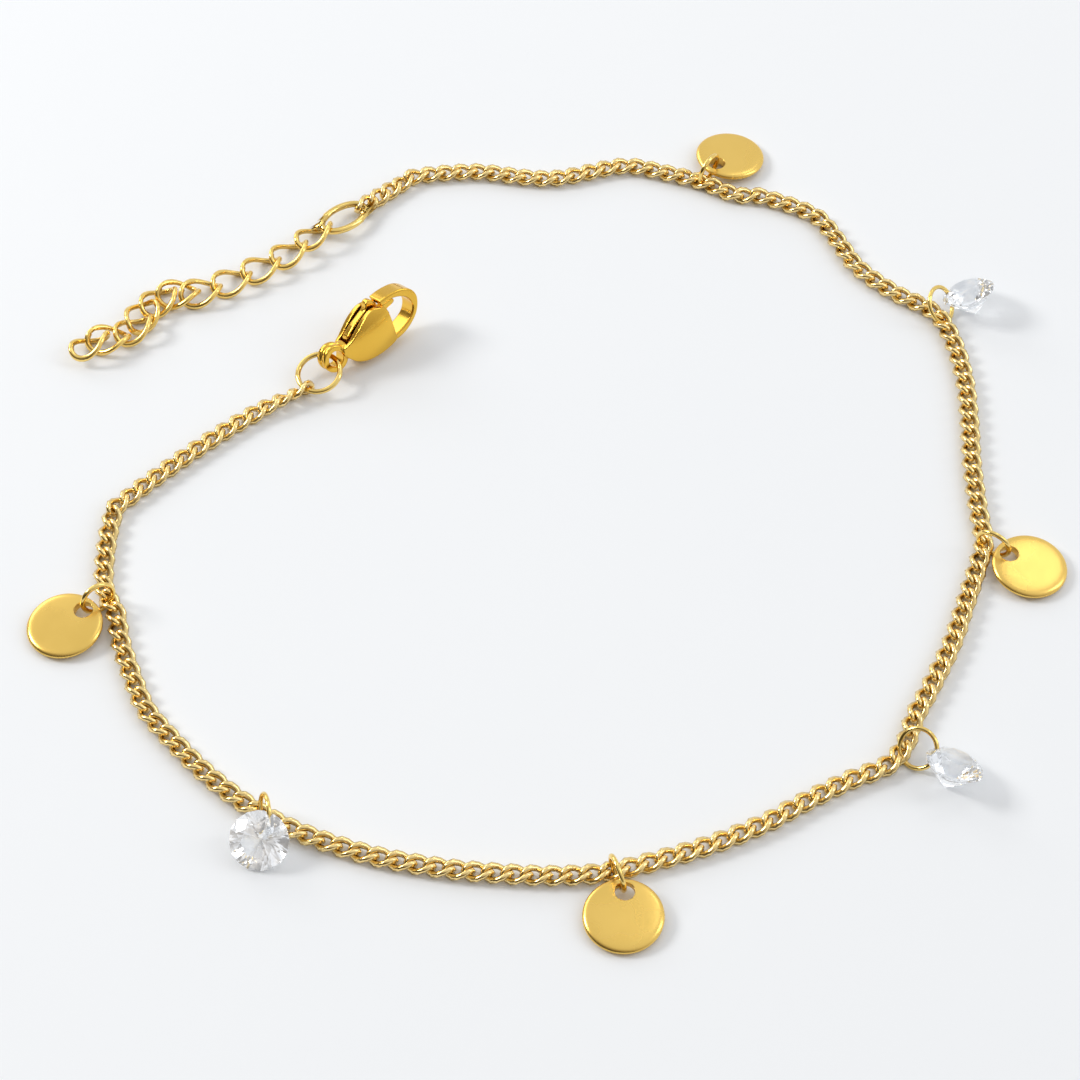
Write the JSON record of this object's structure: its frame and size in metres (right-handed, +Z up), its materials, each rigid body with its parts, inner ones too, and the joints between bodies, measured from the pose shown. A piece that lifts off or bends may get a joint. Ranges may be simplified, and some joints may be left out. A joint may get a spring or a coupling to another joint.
{
  "type": "charm anklet",
  "caption": "Fine gold-coloured curb-chain anklet, lying open, with flat round discs and drilled clear stones on jump rings, a lobster clasp and an extender chain.",
  "frame": {"origin": "middle of the footprint, on the surface that the anklet lies on", "axes": "+Z up from the surface, -Y towards the viewer of the picture, +X to the viewer's right"},
  "size_m": [0.0818, 0.0842, 0.0049],
  "materials": {
    "gold": "polished gold plating",
    "satin_gold": "satin gold plating",
    "clear_stone": "faceted, clear"
  },
  "bodies": {
    "anklet": {"chain": "gold", "disc_1": "satin_gold", "disc_ring_1": "gold", "disc_2": "satin_gold", "disc_ring_2": "gold", "disc_3": "satin_gold", "disc_ring_3": "gold", "disc_4": "satin_gold", "disc_ring_4": "gold", "stone_1": "clear_stone", "stone_ring_1": "gold", "stone_2": "clear_stone", "stone_ring_2": "gold", "stone_3": "clear_stone", "stone_ring_3": "gold", "clasp_body": "gold", "clasp_ring": "gold", "joining_ring": "gold", "extender_link_01": "gold", "extender_link_02": "gold", "extender_link_03": "gold", "extender_link_04": "gold", "extender_link_05": "gold", "extender_link_06": "gold", "extender_link_07": "gold", "extender_link_08": "gold", "extender_link_09": "gold", "extender_link_10": "gold", "extender_link_11": "gold"},
    "lever": {"clasp_lever": "gold"}
  },
  "joints": [
    {"name": "lever_hinge", "type": "hinge", "parent": "anklet", "child": "lever", "pos_m": [-0.01669, 0.01577, 0.0025], "axis": [0.5817, -0.7239, 0.371], "range_deg": [-20, 0], "stiffness_Nm_per_rad": 0.001}
  ]
}
